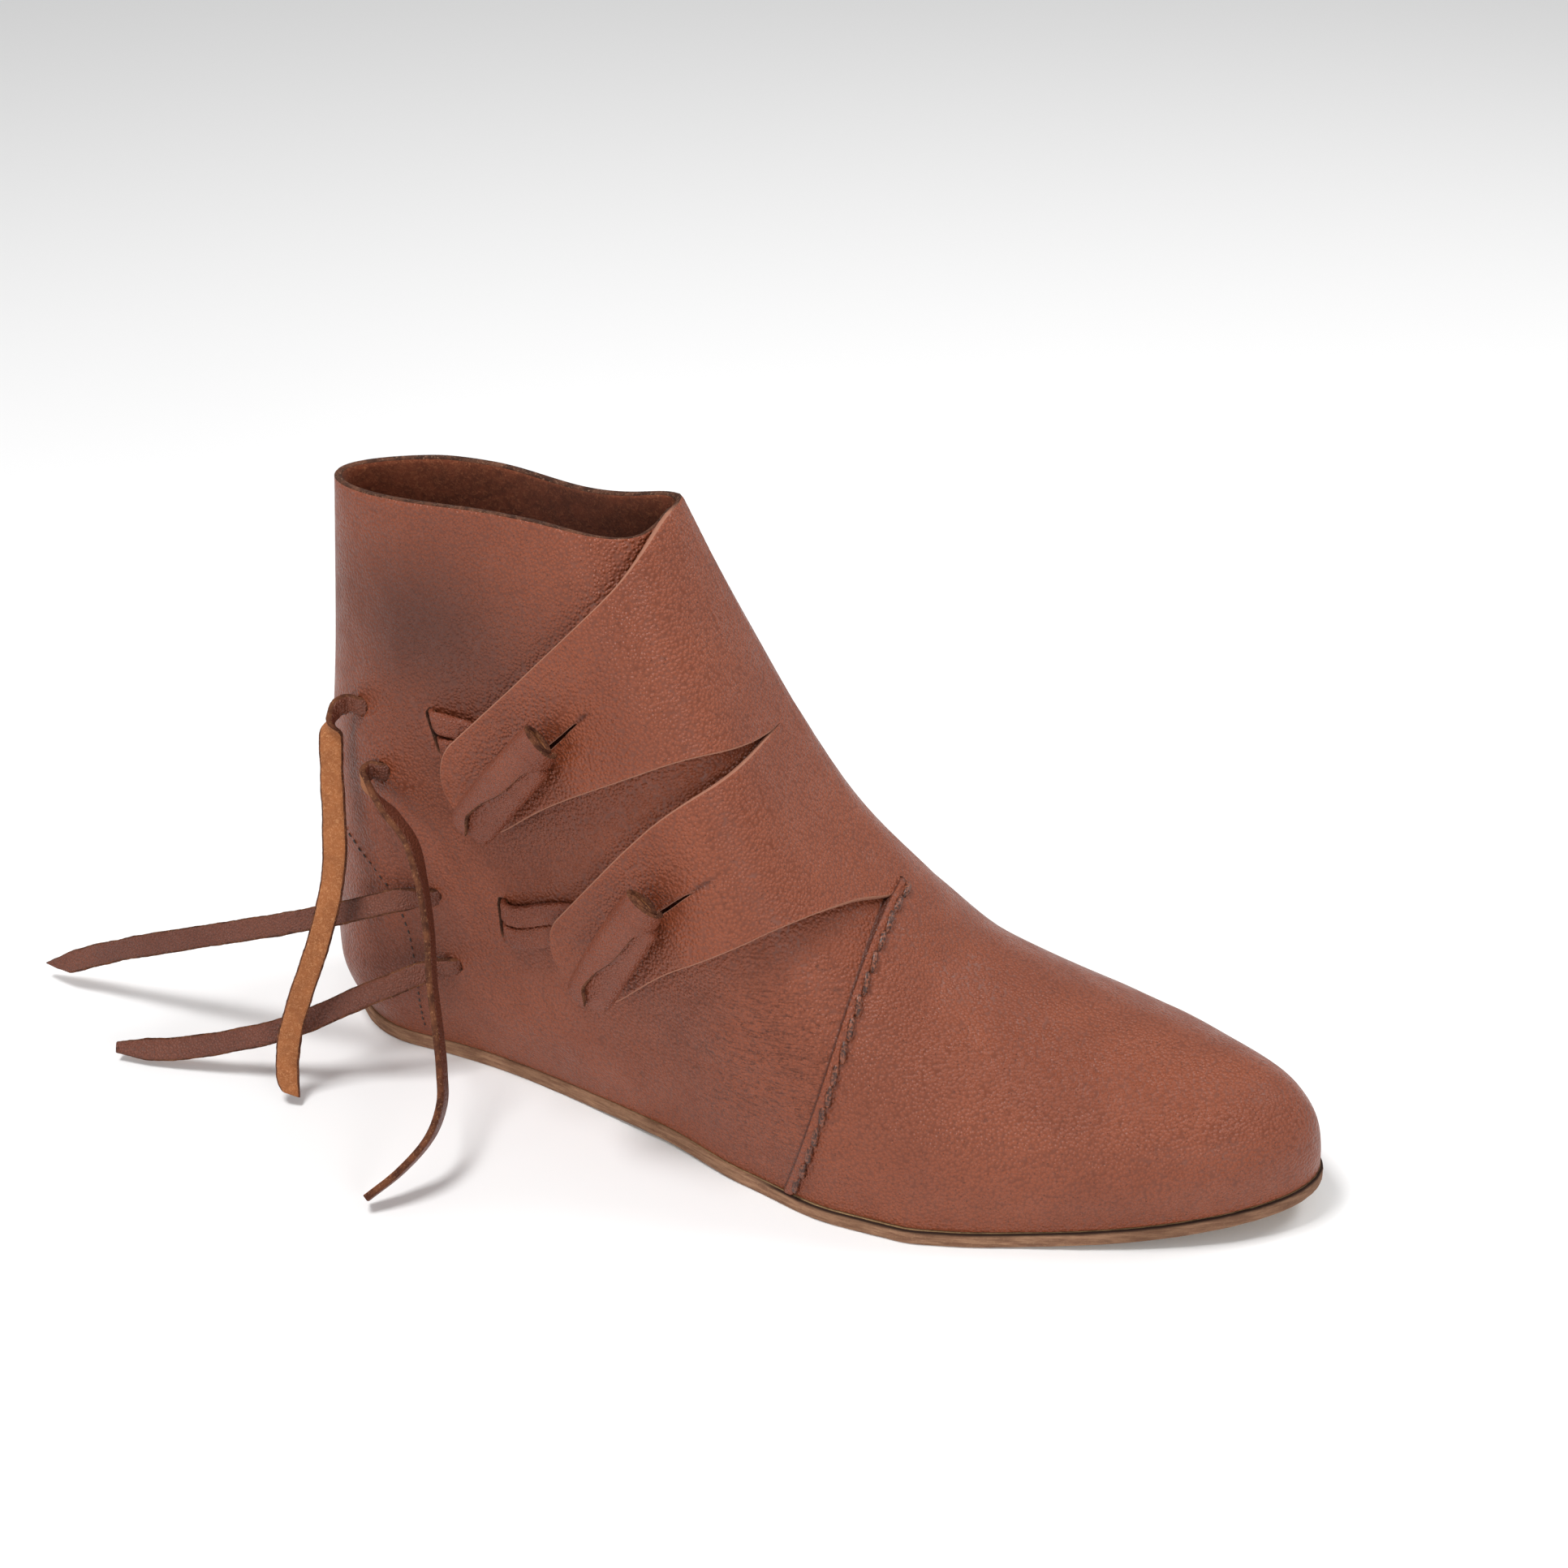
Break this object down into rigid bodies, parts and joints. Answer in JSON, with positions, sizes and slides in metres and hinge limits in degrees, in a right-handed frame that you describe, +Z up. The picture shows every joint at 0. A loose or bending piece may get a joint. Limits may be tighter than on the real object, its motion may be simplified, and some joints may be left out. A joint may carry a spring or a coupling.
{
  "type": "viking shoe",
  "caption": "Ankle-high turned leather shoe for the right foot, wrapped upper with instep flaps closed by rolled leather toggles on the outer side, thongs out at the heel, flat leather sole.",
  "frame": {"origin": "on the floor under the centre of the heel's flat spot", "axes": "+X towards the toe, +Y towards the inner side of the foot, +Z up"},
  "size_m": [0.3701, 0.1406, 0.174],
  "materials": {
    "upper_leather": "russet smooth grain leather, satin, fine pores",
    "sole_leather": "thick tan sole leather with a raw cut edge",
    "lining_leather": "matt brown flesh side",
    "thong_leather": "russet grain, tan suede back, raw edges"
  },
  "bodies": {
    "root": {"upper": "upper_leather", "sole": "sole_leather", "insole": "lining_leather", "toggle_upper": "thong_leather", "toggle_lower": "thong_leather", "tail_upper_back": "thong_leather", "tail_upper_front": "thong_leather", "tail_lower_back": "thong_leather", "tail_lower_front": "thong_leather"}
  },
  "joints": []
}
